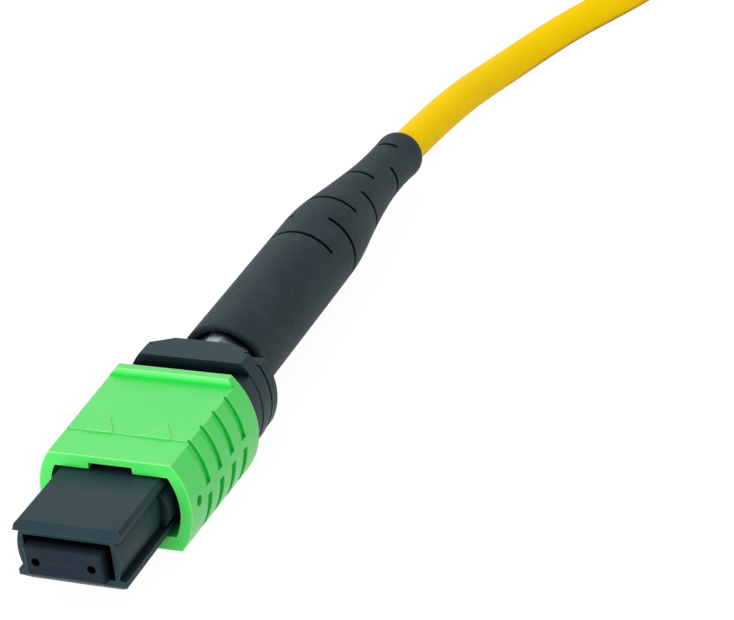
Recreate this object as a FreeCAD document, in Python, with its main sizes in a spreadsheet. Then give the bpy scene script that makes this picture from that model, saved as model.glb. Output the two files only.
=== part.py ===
import FreeCAD, Part
import math
import os

import Sketcher
from FreeCAD import Placement, Rotation, Vector

# A twelve-fibre push-on connector on the end of a round cable pigtail, in millimetres.
# Origin: centre of the ferrule's polished end face. X runs across the row of fibres,
# +Y runs back along the plug towards the cable, +Z is up, and the key is underneath.

DRIVING_SIZES = [
    # ferrule
    ("ferrule_width", 6.4, "across the end face"),
    ("ferrule_height", 2.5, "end face, top to bottom"),
    ("ferrule_length", 8.0, "end face to rear face"),
    ("ferrule_edge", 0.12, "chamfer round the end face"),
    ("flange_width", 7.0, "rear flange across"),
    ("flange_height", 3.0, "rear flange, top to bottom"),
    ("flange_length", 2.6, "rear flange along the axis"),
    ("pin_pitch", 4.6, "between the two guide pin bores"),
    ("pin_bore", 0.7, "diameter of a guide pin bore"),
    ("fill_window_width", 3.2, "resin window in the ferrule's top"),
    ("fill_window_length", 1.6, "resin window along the axis"),
    ("fill_window_start", 2.4, "resin window from the end face"),
    ("fibre_pitch", 0.25, "between neighbouring fibres"),
    ("glass_diameter", 0.125, "bare end of a fibre"),
    ("coat_diameter", 0.22, "coated fibre"),
    ("strip_length", 5.7, "bare length of a fibre"),
    ("ferrule_float", 0.8, "how far the ferrule is pushed back when it mates"),
    # pieces behind the ferrule
    ("grommet_width", 3.8, "rubber grommet across the fibres"),
    ("grommet_height", 1.3, "rubber grommet, top to bottom"),
    ("grommet_seat", 2.4, "depth of the grommet in the ferrule"),
    ("grommet_tail", 1.3, "grommet behind the ferrule"),
    ("keeper_length", 1.9, "pin keeper along the axis"),
    ("keeper_width", 6.7, "pin keeper across"),
    ("keeper_height", 2.7, "pin keeper, top to bottom"),
    ("spring_wire", 0.4, "wire of the oval spring"),
    ("spring_width", 5.7, "oval spring across, outside"),
    ("spring_height", 2.7, "oval spring, top to bottom, outside"),
    # inner housing
    ("ferrule_protrusion", 0.96, "ferrule ahead of the inner housing"),
    ("housing_length", 21.0, "inner housing along the axis"),
    ("housing_height", 5.2, "inner housing over its plates"),
    ("plate_width", 8.8, "top and bottom plates across"),
    ("plate_rim", 0.65, "plate thickness where it overhangs the side wall"),
    ("plate_chamfer", 0.3, "chamfer on the long edges of a plate"),
    ("wall_width", 8.4, "across the bulge of the side walls"),
    ("wall_edge", 7.8, "side walls where they meet the plates, across"),
    ("skirt_width", 8.9, "bottom plate's rim across"),
    ("skirt_edge", 0.5, "thickness of that rim's edge"),
    ("skirt_slope", 0.12, "rise from that edge to the side wall"),
    ("skirt_chamfer_width", 0.65, "chamfer under the rim, across"),
    ("skirt_chamfer_height", 0.6, "chamfer under the rim, up"),
    ("nose_bevel", 0.62, "bevel on the front edge of a plate"),
    ("mouth_width", 7.24, "front recess across"),
    ("mouth_top", 1.7, "front recess above the axis"),
    ("mouth_bottom", 1.42, "front recess below the axis"),
    ("mouth_depth", 1.8, "front recess along the axis"),
    ("ferrule_gap", 0.1, "running gap round the ferrule"),
    ("latch_start", 7.3, "latch shoulder behind the housing front"),
    ("latch_length", 1.9, "latch shoulder along the axis"),
    ("latch_rise", 0.65, "latch shoulder out from the wall"),
    ("latch_height", 3.3, "latch shoulder, top to bottom"),
    ("block_length", 9.4, "thick rear block along the axis"),
    ("block_width", 10.2, "rear block across its rounded sides"),
    ("block_flat", 8.6, "flat top of the rear block across"),
    ("channel_height", 1.2, "spring channel, top to bottom"),
    ("channel_floor", 4.25, "spring channel floor from the axis"),
    ("channel_inset", 0.5, "spring channel behind the front of the rear block"),
    ("channel_length", 6.4, "spring channel along the axis"),
    ("clip_window_length", 1.2, "clip window along the axis"),
    ("clip_window_height", 2.2, "clip window, top to bottom"),
    ("clip_window_inset", 0.75, "clip window ahead of the housing's rear"),
    ("clip_reach", 0.55, "clip out from the rear body's tongue"),
    ("clip_gap", 0.1, "gap round a clip in its window"),
    ("key_width", 3.5, "key across"),
    ("key_height", 0.5, "key below the plate"),
    ("key_start", 0.9, "key behind the housing front"),
    ("key_length", 10.4, "key along the axis"),
    ("key_step_length", 0.7, "low front step of the key"),
    ("key_step_height", 0.22, "height of the low step"),
    # pull sleeve
    ("sleeve_inset", 0.56, "sleeve's rear ahead of the inner housing's rear"),
    ("sleeve_length", 12.47, "sleeve along the axis"),
    ("sleeve_height", 7.76, "sleeve over its flats"),
    ("sleeve_proud", 0.7, "sleeve's rear out from the collar's round sides"),
    ("sleeve_taper", 0.25, "sleeve's front in from its rear, on each side"),
    ("sleeve_travel", 2.2, "how far the sleeve is pulled back"),
    ("bore_flat", 9.5, "flat of the sleeve's bore across"),
    ("bore_width", 10.84, "sleeve's bore across its rounded sides"),
    ("bore_gap", 0.06, "running gap over the housing plates"),
    ("neck_gap_side", 0.15, "gap between the rear bore and the neck, at the sides"),
    ("neck_gap", 0.1, "gap between the rear bore and the neck, above and below"),
    ("rear_bore_length", 2.1, "rear bore along the axis"),
    ("keyway_gap", 0.1, "gap round the key in its keyway"),
    ("ridge_count", 4, "gripping grooves on each side"),
    ("ridge_pitch", 2.2, "between gripping grooves"),
    ("ridge_first", 3.65, "first groove's rear wall behind the sleeve front"),
    ("ridge_length", 0.9, "ramp of a groove along the axis"),
    ("ridge_depth", 0.3, "depth of a groove at its rear wall, half way up"),
    ("ridge_offset", 0.55, "groove's own centre past the axis, so that it fades to the corners"),
    ("band_angle", 7.0, "plain band between upper and lower grooves, degrees"),
    ("lip_length", 0.72, "raised rear lip along the axis"),
    ("lip_ramp", 0.22, "sloped front of the lip"),
    ("lip_rise", 0.62, "rear lip above the flat"),
    ("panel_length", 3.35, "sunk front panel along the axis"),
    ("panel_depth", 0.07, "sunk front panel below the flat"),
    ("arrow_width", 2.5, "raised arrow across"),
    ("arrow_length", 2.2, "raised arrow along the axis"),
    ("arrow_offset", 2.45, "arrow from the centre line"),
    ("arrow_rise", 0.06, "raised arrow above the flat"),
    ("dimple_diameter", 0.95, "dimple in the sleeve's side"),
    ("dimple_depth", 0.55, "depth of the dimple"),
    ("dimple_start", 1.45, "dimple behind the sleeve front"),
    ("tab_length", 0.6, "spring tab inside the sleeve"),
    ("tab_height", 0.9, "spring tab, top to bottom"),
    ("tab_gap", 0.1, "gap between tab and channel"),
    ("return_wire", 0.18, "wire of a sleeve return spring"),
    ("return_diameter", 0.96, "sleeve return spring, outside"),
    ("return_turns", 8, "turns of a sleeve return spring"),
    # rear body
    ("collar_diameter", 11.9, "collar across its round sides"),
    ("collar_height", 7.9, "collar over its flats"),
    ("collar_gap", 0.5, "collar clear of the sleeve when it is pulled back"),
    ("collar_length", 1.6, "collar ahead of its seam groove"),
    ("seam_width", 0.22, "seam groove round the collar"),
    ("seam_depth", 0.3, "depth of the seam groove"),
    ("rim_length", 1.1, "rim behind the seam groove"),
    ("rim_facet", 1.9, "corner facet of the rim across"),
    ("neck_height", 5.7, "neck ahead of the collar, top to bottom"),
    ("neck_step", 0.05, "neck in from the collar's round sides"),
    ("tongue_length", 2.4, "tongue inside the inner housing"),
    ("tongue_gap", 0.08, "gap round the tongue"),
    ("passage_width", 3.8, "fibre passage across"),
    ("passage_height", 1.8, "fibre passage, top to bottom"),
    ("post_diameter", 4.9, "crimp post"),
    ("post_bore", 3.8, "bore of the crimp post"),
    ("post_length", 5.5, "crimp post along the axis"),
    ("post_ring", 0.1, "holding rings above the post"),
    # crimp, yarn and cable
    ("yarn_thickness", 0.16, "strength yarn over the post"),
    ("yarn_gap", 0.02, "gap on either side of the yarn"),
    ("crimp_wall", 0.4, "wall of the crimp ring"),
    ("crimp_length", 5.7, "crimp ring over the post"),
    ("crimp_neck_length", 3.2, "crimp ring over the cable jacket"),
    ("crimp_taper", 1.5, "taper between the two"),
    ("crimp_flat", 5.95, "across the pressed flats"),
    ("cable_diameter", 3.4, "cable jacket, outside"),
    ("jacket_bore", 2.4, "cable jacket, inside"),
    ("jacket_start", 2.0, "jacket end behind the crimp post"),
    ("hank_run", 37.5, "straight run of the put-away hank"),
    ("hank_loop", 13.6, "end loops of the hank, to the middle of the outer turn"),
    ("hank_turns_wide", 2, "turns side by side"),
    ("hank_turns_high", 3, "turns on each other"),
    # strain relief
    ("relief_gap", 2.8, "crimp ring seen between the collar and the strain relief"),
    ("relief_length", 42.2, "strain relief along its axis"),
    ("relief_diameter", 7.6, "strain relief's straight part"),
    ("relief_straight", 20.4, "length of the straight part"),
    ("relief_rim", 0.25, "rounding of the front rim"),
    ("relief_waist", 4.5, "narrowest part near the tip"),
    ("relief_tip", 4.6, "bead round the tip"),
    ("relief_clearance", 0.08, "gap round the ring and the cable"),
    ("relief_bend_start", 22.18, "where the tail starts to bend, behind the front rim"),
    ("relief_bend_radius", 332.0, "bend of the tail's centre line"),
    ("slit_width", 0.4, "slit along the axis"),
    ("slit_pitch", 7.32, "between slits of one pair of rows"),
    ("slit_first", 17.0, "first slit behind the front rim"),
    ("slit_stagger", 3.68, "side slits behind the top slits"),
    ("slit_skin", 0.3, "skin left under a slit"),
]

FIBRE_COLOURS = ["blue", "orange", "green", "brown", "slate", "white",
                 "red", "black", "yellow", "violet", "rose", "aqua"]
TOP_SLIT_SPANS = [118, 100, 74, 50]
SIDE_SLIT_SPANS = [128, 110, 88]

# The cable's route: hand-chosen points down to the surface that the connector lies on, with
# each point's Y counted from the strain relief's tip.
CABLE_ROUTE = [
    Vector(0.88, 11.93, -0.99),
    Vector(2.15, 25.38, -2.8),
    Vector(5.6, 37.38, -2.8),
    Vector(9.9, 47.18, -2.8),
    Vector(13.0, 56.18, -2.8),
    Vector(13.7, 64.33, -2.8),
]
HANK_PLACE = Vector(0.1, 67.98, -4.5)


class Size:
    """A length that knows its number and its formula in the sheet."""

    def __init__(self, number, formula):
        self.number = number
        self.formula = formula

    def __add__(self, other):
        other = as_size(other)
        return Size(self.number + other.number, f"({self.formula} + {other.formula})")

    def __sub__(self, other):
        other = as_size(other)
        return Size(self.number - other.number, f"({self.formula} - {other.formula})")

    def __mul__(self, other):
        other = as_size(other)
        return Size(self.number * other.number, f"({self.formula} * {other.formula})")

    def __truediv__(self, other):
        other = as_size(other)
        return Size(self.number / other.number, f"({self.formula} / {other.formula})")

    def __neg__(self):
        return Size(-self.number, f"(-1 * {self.formula})")

    def root(self):
        return Size(math.sqrt(self.number), f"sqrt({self.formula})")


def as_size(value):
    return value if isinstance(value, Size) else Size(value, repr(value))


ZERO = Size(0.0, "0")


class Sizes:
    """The spreadsheet's cells, one attribute for each alias."""

    def __init__(self, sheet):
        for row, (alias, value, note) in enumerate(DRIVING_SIZES, start=1):
            sheet.set(f"A{row}", alias)
            sheet.set(f"B{row}", str(value))
            sheet.set(f"C{row}", note)
            sheet.setAlias(f"B{row}", alias)
            setattr(self, alias, Size(value, f"Sizes.{alias}"))


doc = FreeCAD.newDocument("FibreConnector")
d = Sizes(doc.addObject("Spreadsheet::Sheet", "Sizes"))
doc.recompute()

# Stations along the plug, each worked out from the one before it.
housing_front = d.ferrule_protrusion
housing_rear = housing_front + d.housing_length
flange_front = d.ferrule_length - d.flange_length
keeper_rear = d.ferrule_length + d.keeper_length
sleeve_rear = housing_rear - d.sleeve_inset
sleeve_front = sleeve_rear - d.sleeve_length
block_front = housing_rear - d.block_length
clip_window_front = housing_rear - d.clip_window_inset - d.clip_window_length
channel_front = block_front + d.channel_inset
channel_rear = channel_front + d.channel_length
tab_front = channel_front + d.tab_gap
tab_rear = tab_front + d.tab_length
tongue_front = housing_rear - d.tongue_length
collar_front = sleeve_rear + d.sleeve_travel + d.collar_gap
seam_front = collar_front + d.collar_length
rim_front = seam_front + d.seam_width
collar_rear = rim_front + d.rim_length
post_rear = collar_rear + d.post_length
jacket_end = post_rear + d.jacket_start
relief_front = collar_rear + d.relief_gap
relief_end = relief_front + d.relief_length
bend_start = relief_front + d.relief_bend_start
crimp_end = post_rear + 0.2 + d.crimp_taper + d.crimp_neck_length

# Heights and radii that several pieces share.
half_housing = d.housing_height / 2
half_sleeve = d.sleeve_height / 2
half_bore = half_housing + d.bore_gap
chamber_side = d.flange_width / 2 + d.ferrule_gap
chamber_top = d.flange_height / 2 + d.ferrule_gap
ring_inside = d.post_diameter / 2 + d.post_ring + d.yarn_gap + d.yarn_thickness + d.yarn_gap
ring_outside = ring_inside + d.crimp_wall
jacket_radius = d.cable_diameter / 2
lip_top = half_sleeve + d.lip_rise
rear_radius = d.collar_diameter / 2 + d.sleeve_proud
front_radius = rear_radius - d.sleeve_taper
neck_diameter = d.collar_diameter - d.neck_step * 2


def arc_radius(half_chord, rise):
    """Radius of an arc that rises this far over its chord."""
    return (half_chord * half_chord + rise * rise) / (rise * 2)


def flat_reach(diameter, height):
    """Half width of the flats cut at this height on a round body."""
    return (diameter * diameter / 4 - height * height / 4).root()


# ---- sketches and features -------------------------------------------------------------

PLANE_NORMAL_SIGN = {"XZ_Plane": -1, "XY_Plane": 1, "YZ_Plane": 1}


def new_body(label):
    body = doc.addObject("PartDesign::Body", label)
    body.Label = label
    return body


def new_sketch(body, role, station=ZERO):
    """A sketch on one of the body's own origin planes, moved along its normal to a station."""
    sketch = body.newObject("Sketcher::SketchObject", "Sketch")
    plane = [part for part in body.Origin.OriginFeatures if part.Role == role][0]
    sketch.AttachmentSupport = [(plane, "")]
    sketch.MapMode = "FlatFace"
    offset = station * PLANE_NORMAL_SIGN[role]
    sketch.setExpression(".AttachmentOffset.Base.z", offset.formula)
    return sketch


def section(body, station):
    """A sketch across the plug: its axes are X and Z."""
    return new_sketch(body, "XZ_Plane", station)


def plan(body, level=ZERO):
    """A sketch seen from above: its axes are X and Y."""
    return new_sketch(body, "XY_Plane", level)


def side(body):
    """A sketch seen from the side: its axes are Y and Z."""
    return new_sketch(body, "YZ_Plane")


def constrain(sketch, kind, places, size):
    index = sketch.addConstraint(Sketcher.Constraint(kind, *places, size.number))
    sketch.setExpression(f"Constraints[{index}]", size.formula)


def point(corner):
    return Vector(as_size(corner[0]).number, as_size(corner[1]).number, 0)


def outline(sketch, corners, rounds=None):
    """A closed profile, anticlockwise, with every corner pinned by two sizes.

    rounds maps an edge's index to (a point near the arc's middle, its radius). A half
    circle between two corners at one height has no radius there: its centre is level with them.
    """
    rounds = rounds or {}
    first = sketch.GeometryCount
    count = len(corners)
    for edge, corner in enumerate(corners):
        following = corners[(edge + 1) % count]
        if edge in rounds:
            middle = point(rounds[edge][0])
            sketch.addGeometry(Part.Arc(point(corner), middle, point(following)), False)
        else:
            sketch.addGeometry(Part.LineSegment(point(corner), point(following)), False)
    for edge, corner in enumerate(corners):
        following = first + (edge + 1) % count
        sketch.addConstraint(Sketcher.Constraint("Coincident", first + edge, 2, following, 1))
        constrain(sketch, "DistanceX", (first + edge, 1), as_size(corner[0]))
        constrain(sketch, "DistanceY", (first + edge, 1), as_size(corner[1]))
        if edge in rounds and rounds[edge][1] is None:
            constrain(sketch, "DistanceY", (first + edge, 3), as_size(corner[1]))
        elif edge in rounds:
            constrain(sketch, "Radius", (first + edge,), rounds[edge][1])


def rectangle(sketch, left, right, low, high):
    outline(sketch, [(left, low), (right, low), (right, high), (left, high)])


def centred(sketch, half_width, half_height):
    rectangle(sketch, -half_width, half_width, -half_height, half_height)


def disc(sketch, across, up, radius):
    index = sketch.addGeometry(Part.Circle(point((across, up)), Vector(0, 0, 1), radius.number), False)
    constrain(sketch, "DistanceX", (index, 3), as_size(across))
    constrain(sketch, "DistanceY", (index, 3), as_size(up))
    constrain(sketch, "Radius", (index,), radius)


def barrel(sketch, half_flat, half_height, half_width):
    """Flat top and bottom with sides that bulge as arcs from corner to corner."""
    radius = arc_radius(half_height, half_width - half_flat)
    corners = [(half_flat, -half_height), (half_flat, half_height),
               (-half_flat, half_height), (-half_flat, -half_height)]
    outline(sketch, corners, {0: ((half_width, ZERO), radius), 2: ((-half_width, ZERO), radius)})


def round_with_flats(sketch, diameter, height):
    """A round section cut by two flats."""
    reach = flat_reach(diameter, height)
    corners = [(reach, -height / 2), (reach, height / 2),
               (-reach, height / 2), (-reach, -height / 2)]
    outline(sketch, corners, {0: ((diameter / 2, ZERO), diameter / 2),
                              2: ((-diameter / 2, ZERO), diameter / 2)})


def mirror_corners(corners):
    """Adds the left half of a section whose right half is given from low to high."""
    return corners + [(-across, up) for across, up in reversed(corners)]


def extrude(body, kind, sketch, length, symmetric, backwards):
    feature = body.newObject(kind, kind.split("::")[1])
    feature.Profile = sketch
    feature.setExpression("Length", length.formula)
    feature.Reversed = backwards
    if symmetric:
        feature.SideType = "Symmetric"
    doc.recompute()
    return feature


def pad(body, sketch, length, symmetric=False, backwards=False):
    return extrude(body, "PartDesign::Pad", sketch, length, symmetric, backwards)


def pad_rearwards(body, sketch, length):
    return pad(body, sketch, length, backwards=True)


def pocket(body, sketch, length, symmetric=False, backwards=False):
    """A cut, which has to take material away."""
    before = body.Shape.Volume
    feature = extrude(body, "PartDesign::Pocket", sketch, length, symmetric, backwards)
    if body.Shape.Volume > before - 1e-6:
        raise RuntimeError(f"a cut in {body.Label} takes nothing away")
    return feature


def turn(body, kind, sketch, axis, angle=None):
    """A revolution or groove of the sketch about one of its axes."""
    feature = body.newObject(kind, kind.split("::")[1])
    feature.Profile = sketch
    feature.ReferenceAxis = (sketch, [axis])
    if angle is None:
        feature.Angle = 360
    else:
        feature.setExpression("Angle", angle.formula)
        feature.Midplane = True
    doc.recompute()
    return feature


def solid_of_revolution(label, corners):
    """A ring whose section is given as (radius, station) corners about the plug's axis."""
    body = new_body(label)
    sketch = plan(body)
    outline(sketch, corners)
    turn(body, "PartDesign::Revolution", sketch, "V_Axis")
    return body


def part_feature(label, shape):
    feature = doc.addObject("Part::Feature", label)
    feature.Label = label
    feature.Shape = shape
    return feature


# ---- ferrule and what rides with it ------------------------------------------------------

def make_ferrule():
    """Moulded block with a rear flange, guide pin bores and a row of fibre bores."""
    body = new_body("mt_ferrule")
    face = section(body, ZERO)
    centred(face, d.ferrule_width / 2, d.ferrule_height / 2)
    pad_rearwards(body, face, d.ferrule_length)
    flange = section(body, flange_front)
    centred(flange, d.flange_width / 2, d.flange_height / 2)
    pad_rearwards(body, flange, d.flange_length)
    chamfer = body.newObject("PartDesign::Chamfer", "Chamfer")
    base = body.Tip if body.Tip != chamfer else chamfer.BaseFeature
    front_face = [f"Face{index + 1}" for index, face in enumerate(base.Shape.Faces)
                  if abs(face.CenterOfMass.y) < 1e-6]
    chamfer.Base = (base, front_face)
    chamfer.setExpression("Size", d.ferrule_edge.formula)
    doc.recompute()

    bores = section(body, ZERO)
    for sign in (-1, 1):
        disc(bores, d.pin_pitch / 2 * sign, ZERO, d.pin_bore / 2)
    pocket(body, bores, d.ferrule_length)
    fibre_row = section(body, ZERO)
    for index in range(len(FIBRE_COLOURS)):
        disc(fibre_row, fibre_place(index), ZERO, d.glass_diameter / 2)
    pocket(body, fibre_row, d.ferrule_length)

    window = plan(body, d.ferrule_height / 2)
    rectangle(window, -d.fill_window_width / 2, d.fill_window_width / 2,
              d.fill_window_start, d.fill_window_start + d.fill_window_length)
    pocket(body, window, d.ferrule_height / 2)
    seat = section(body, d.ferrule_length - d.grommet_seat)
    centred(seat, d.grommet_width / 2, d.grommet_height / 2)
    pocket(body, seat, d.grommet_seat)


def fibre_place(index):
    return d.fibre_pitch * (index - (len(FIBRE_COLOURS) - 1) / 2)


def make_grommet():
    """Rubber grommet that eases the fibres into the ferrule."""
    body = new_body("ferrule_grommet")
    front = d.ferrule_length - d.grommet_seat
    block = section(body, front)
    centred(block, d.grommet_width / 2, d.grommet_height / 2)
    length = d.grommet_seat + d.grommet_tail
    pad_rearwards(body, block, length)
    slot = section(body, front)
    half_row = d.fibre_pitch * len(FIBRE_COLOURS) / 2 + 0.04
    centred(slot, half_row, d.coat_diameter / 2 + 0.02)
    pocket(body, slot, length)


def make_pin_keeper():
    """Plate behind the ferrule that takes the spring, open above for the fibres."""
    body = new_body("pin_keeper")
    plate = section(body, d.ferrule_length)
    centred(plate, d.keeper_width / 2, d.keeper_height / 2)
    pad_rearwards(body, plate, d.keeper_length)
    slot = section(body, d.ferrule_length)
    half_slot = d.grommet_width / 2 + d.ferrule_gap
    low = -d.grommet_height / 2 - d.ferrule_gap
    rectangle(slot, -half_slot, half_slot, low, d.keeper_height / 2 + 0.1)
    pocket(body, slot, d.keeper_length)
    sockets = section(body, d.ferrule_length)
    for sign in (-1, 1):
        disc(sockets, d.pin_pitch / 2 * sign, ZERO, d.pin_bore / 2 + d.ferrule_gap)
    pocket(body, sockets, d.keeper_length / 2)


def route_wire(points, told=""):
    """Straight runs joined by the largest tangent arcs that the runs leave room for."""
    edges = []
    here = points[0]
    for before, corner, after in zip(points, points[1:], points[2:]):
        arriving = (corner - before).normalize()
        leaving = (after - corner).normalize()
        half_turn = arriving.getAngle(leaving) / 2
        shorter = min((corner - before).Length, (after - corner).Length)
        cut_back = 0.45 * shorter
        radius = cut_back / math.tan(half_turn)
        if told:
            print(f"{told} bend radius {radius:.1f}")
        into = corner - arriving * cut_back
        out = corner + leaving * cut_back
        inward = (leaving - arriving).normalize()
        depth = radius * (1 / math.cos(half_turn) - 1)
        edges.append(Part.LineSegment(here, into).toShape())
        edges.append(Part.Arc(into, corner + inward * depth, out).toShape())
        here = out
    edges.append(Part.LineSegment(here, points[-1]).toShape())
    return Part.Wire(edges)


def tube_along(wire, radius, start, direction):
    profile = Part.Wire(Part.makeCircle(radius, start, direction))
    return wire.makePipeShell([profile], True, False)


def coiled_wire(points, radius, start_direction):
    """A round wire along a coil through the points."""
    curve = Part.BSplineCurve()
    curve.interpolate(points)
    spine = Part.Wire(curve.toShape())
    profile = Part.Wire(Part.makeCircle(radius, points[0], start_direction))
    return spine.makePipeShell([profile], True, True)


def make_ferrule_spring():
    """Oval compression spring with closed ends, from the pin keeper to the rear body."""
    wire = d.spring_wire.number
    front = keeper_rear.number + wire / 2
    rear = tongue_front.number - wire / 2
    half_width = (d.spring_width.number - wire) / 2
    half_height = (d.spring_height.number - wire) / 2
    end_turns, open_turns, steps = 1, 5, 10
    closed_pitch = wire * 1.05
    open_pitch = (rear - front - 2 * end_turns * closed_pitch) / open_turns
    points = []
    for step in range((2 * end_turns + open_turns) * steps + 1):
        turns = step / steps
        opened = min(max(turns - end_turns, 0), open_turns)
        along = front + (turns - opened) * closed_pitch + opened * open_pitch
        angle = 2 * math.pi * turns
        points.append(Vector(half_width * math.cos(angle), along, half_height * math.sin(angle)))
    part_feature("ferrule_spring", coiled_wire(points, wire / 2, Vector(0, 0, 1)))


def bundle_places():
    """Places of the gathered fibres, from left to right: three inside a ring of nine."""
    inner = [(0.35, 110 + 120 * index) for index in range(3)]
    outer = [(0.85, 32 + 40 * index) for index in range(9)]
    return sorted((radius * math.cos(math.radians(angle)), radius * math.sin(math.radians(angle)))
                  for radius, angle in inner + outer)


def make_fibre(index, colour):
    """One coated fibre with a bare end, from the ferrule's face to the cable's bundle."""
    across = fibre_place(index).number
    bare = d.strip_length.number
    coat = d.coat_diameter.number / 2
    glass = Part.makeCylinder(d.glass_diameter.number / 2, bare, Vector(across, 0, 0), Vector(0, 1, 0))
    straight = tongue_front.number
    gathered = collar_rear.number
    bundle_across, bundle_up = bundle_places()[index]
    points = [Vector(across, bare, 0), Vector(across, straight, 0),
              Vector(bundle_across, gathered, bundle_up),
              Vector(bundle_across, jacket_end.number + 1.5, bundle_up)]
    coated = tube_along(route_wire(points), coat, points[0], Vector(0, 1, 0))
    part_feature(f"fibre_{index + 1:02d}_{colour}", glass.fuse(coated))


# ---- inner housing ----------------------------------------------------------------------

def make_inner_housing():
    """One moulding: plates over side walls, latch shoulders, spring channels and the key."""
    body = new_body("inner_housing")
    half_plate = d.plate_width / 2
    half_wall = d.wall_width / 2
    wall_corner = d.wall_edge / 2
    half_skirt = d.skirt_width / 2
    under_rim = half_housing - d.plate_rim
    skirt_low = d.skirt_chamfer_height - half_housing
    skirt_high = skirt_low + d.skirt_edge
    wall_low = skirt_high + d.skirt_slope
    half_chord = (under_rim - wall_low) / 2
    wall_middle = (under_rim + wall_low) / 2
    bulge = arc_radius(half_chord, half_wall - wall_corner)
    profile = section(body, housing_front)
    outline(profile, mirror_corners([
        (half_skirt - d.skirt_chamfer_width, -half_housing), (half_skirt, skirt_low),
        (half_skirt, skirt_high), (wall_corner, wall_low), (wall_corner, under_rim),
        (half_plate, under_rim), (half_plate, half_housing - d.plate_chamfer),
        (half_plate - d.plate_chamfer, half_housing)]),
        {3: ((half_wall, wall_middle), bulge), 11: ((-half_wall, wall_middle), bulge)})
    pad_rearwards(body, profile, d.housing_length)

    block = section(body, block_front)
    barrel(block, d.block_flat / 2, half_housing, d.block_width / 2)
    pad_rearwards(body, block, housing_rear - block_front)

    shoulders = section(body, housing_front + d.latch_start)
    half_latch = d.latch_height / 2
    crown = half_wall + d.latch_rise
    radius = arc_radius(half_latch, crown - wall_corner)
    inside = wall_corner - 0.1
    outline(shoulders, [(wall_corner, -half_latch), (wall_corner, half_latch),
                        (inside, half_latch), (inside, -half_latch)],
            {0: ((crown, ZERO), radius)})
    outline(shoulders, [(-wall_corner, half_latch), (-wall_corner, -half_latch),
                        (-inside, -half_latch), (-inside, half_latch)],
            {0: ((-crown, ZERO), radius)})
    pad_rearwards(body, shoulders, d.latch_length)

    key = section(body, housing_front + d.key_start)
    half_key = d.key_width / 2
    key_bottom = -half_housing - d.key_height
    rectangle(key, -half_key, half_key, key_bottom, -half_housing)
    pad_rearwards(body, key, d.key_length)
    step = side(body)
    key_front = housing_front + d.key_start
    rectangle(step, key_front, key_front + d.key_step_length,
              key_bottom, -half_housing - d.key_step_height)
    pocket(body, step, d.plate_width, symmetric=True)

    bevels = side(body)
    nose_top = half_housing - d.nose_bevel
    outline(bevels, [(housing_front, nose_top), (housing_front + d.nose_bevel, half_housing),
                     (housing_front, half_housing)])
    outline(bevels, [(housing_front, -nose_top), (housing_front, -half_housing),
                     (housing_front + d.nose_bevel, -half_housing)])
    pocket(body, bevels, d.plate_width, symmetric=True)

    mouth = section(body, housing_front)
    rectangle(mouth, -d.mouth_width / 2, d.mouth_width / 2, -d.mouth_bottom, d.mouth_top)
    pocket(body, mouth, d.mouth_depth)
    throat = section(body, housing_front)
    centred(throat, d.ferrule_width / 2 + d.ferrule_gap, d.ferrule_height / 2 + d.ferrule_gap)
    pocket(body, throat, d.housing_length)
    chamber = section(body, flange_front)
    centred(chamber, chamber_side, chamber_top)
    pocket(body, chamber, housing_rear - flange_front)

    channels = section(body, channel_front)
    half_channel = d.channel_height / 2
    outside = d.block_width / 2 + 0.5
    rectangle(channels, d.channel_floor, outside, -half_channel, half_channel)
    rectangle(channels, -outside, -d.channel_floor, -half_channel, half_channel)
    pocket(body, channels, d.channel_length)

    windows = side(body)
    half_window = d.clip_window_height / 2
    rectangle(windows, clip_window_front, clip_window_front + d.clip_window_length,
              -half_window, half_window)
    pocket(body, windows, d.block_width + 1, symmetric=True)


# ---- pull sleeve ------------------------------------------------------------------------

def sleeve_surface(station):
    """Radius of the sleeve's slightly tapered round sides."""
    share = (station - sleeve_front) / d.sleeve_length
    return front_radius + d.sleeve_taper * share


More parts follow.
